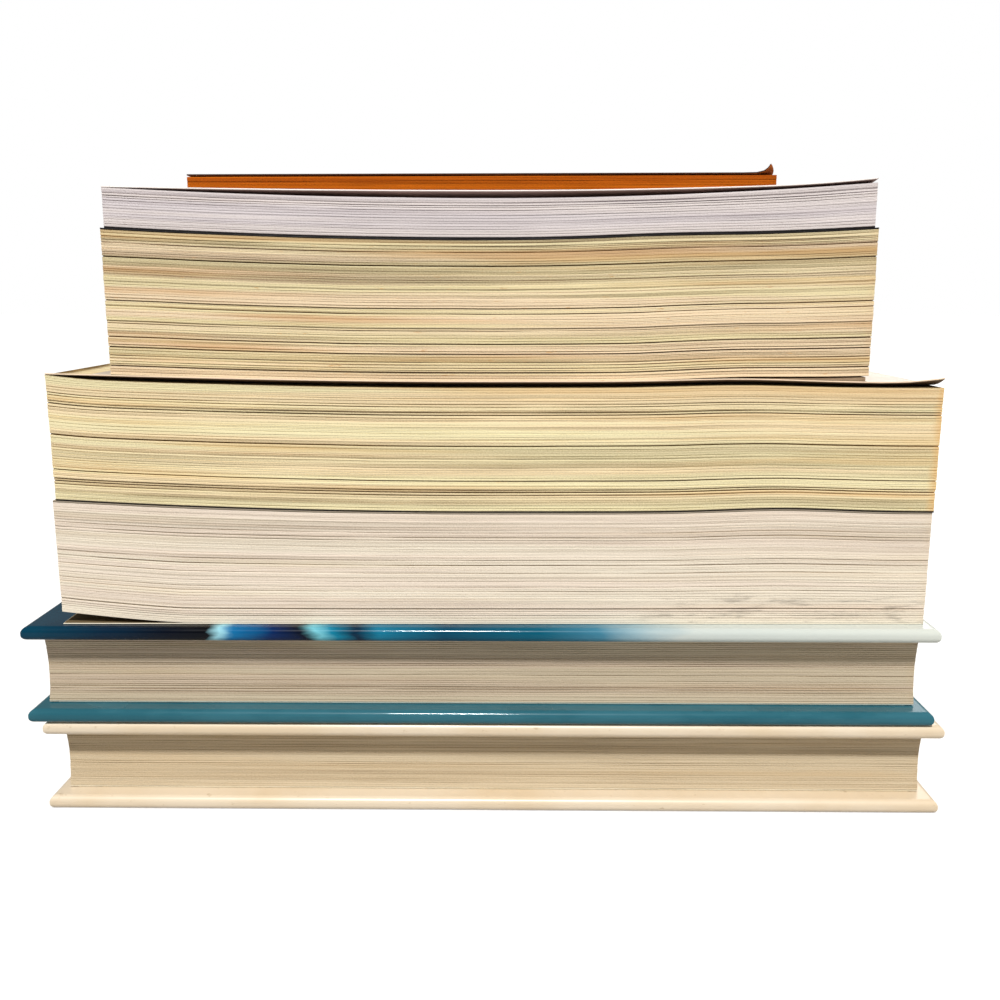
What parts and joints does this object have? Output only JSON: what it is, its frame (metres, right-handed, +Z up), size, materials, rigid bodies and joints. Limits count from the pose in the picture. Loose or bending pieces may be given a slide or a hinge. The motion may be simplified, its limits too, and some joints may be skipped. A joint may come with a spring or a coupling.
{
  "type": "stack of books",
  "caption": "Flat stack of used hardback and paperback books, sagging a little, fore edges to the front, with a loose top cover that opens.",
  "frame": {"origin": "under the middle of the stack, on the surface it rests on", "axes": "+X along the books from tail to head, +Y from their fore edges to their spines, +Z up"},
  "size_m": [0.2207, 0.148, 0.1545],
  "materials": {
    "tan_pages": "matte",
    "greyboard": "matte",
    "cream_wrap": "satin",
    "cream_endpaper": "matte",
    "band_thread": "matte",
    "spine_cloth": "matte",
    "blue_wrap": "gloss",
    "green_endpaper": "matte",
    "white_pages": "matte",
    "white_card": "satin",
    "spine_glue": "satin",
    "yellow_pages": "matte",
    "yellow_card": "satin",
    "brown_pages": "matte",
    "dark_card": "satin",
    "lavender_pages": "matte",
    "pale_card": "satin",
    "orange_pages": "matte",
    "booklet_card": "satin"
  },
  "bodies": {
    "stack": {"cream_hardback_pages": "tan_pages", "cream_hardback_front_board": "greyboard", "cream_hardback_back_board": "greyboard", "cream_hardback_spine_board": "greyboard", "cream_hardback_cover_wrap": "cream_wrap", "cream_hardback_front_endpaper": "cream_endpaper", "cream_hardback_back_endpaper": "cream_endpaper", "cream_hardback_headband": "band_thread", "cream_hardback_tailband": "band_thread", "cream_hardback_spine_lining": "spine_cloth", "blue_hardback_pages": "tan_pages", "blue_hardback_front_board": "greyboard", "blue_hardback_back_board": "greyboard", "blue_hardback_spine_board": "greyboard", "blue_hardback_cover_wrap": "blue_wrap", "blue_hardback_front_endpaper": "green_endpaper", "blue_hardback_back_endpaper": "green_endpaper", "blue_hardback_headband": "band_thread", "blue_hardback_tailband": "band_thread", "blue_hardback_spine_lining": "spine_cloth", "white_paperback_pages": "white_pages", "white_paperback_cover": "white_card", "white_paperback_spine_glue": "spine_glue", "yellow_paperback_pages": "yellow_pages", "yellow_paperback_cover": "yellow_card", "yellow_paperback_spine_glue": "spine_glue", "thick_pocket_book_pages": "brown_pages", "thick_pocket_book_cover": "dark_card", "thick_pocket_book_spine_glue": "spine_glue", "slim_pocket_book_pages": "lavender_pages", "slim_pocket_book_cover": "pale_card", "slim_pocket_book_spine_glue": "spine_glue", "booklet_pages": "orange_pages", "booklet_back_cover": "booklet_card", "booklet_spine_glue": "spine_glue"},
    "top_cover": {"booklet_front_cover": "booklet_card"}
  },
  "joints": [
    {"name": "booklet_cover_fold", "type": "hinge", "parent": "stack", "child": "top_cover", "pos_m": [-0.00161, 0.04575, 0.15104], "axis": [-1, 0, -0.0033], "range_deg": [0, 180]}
  ]
}
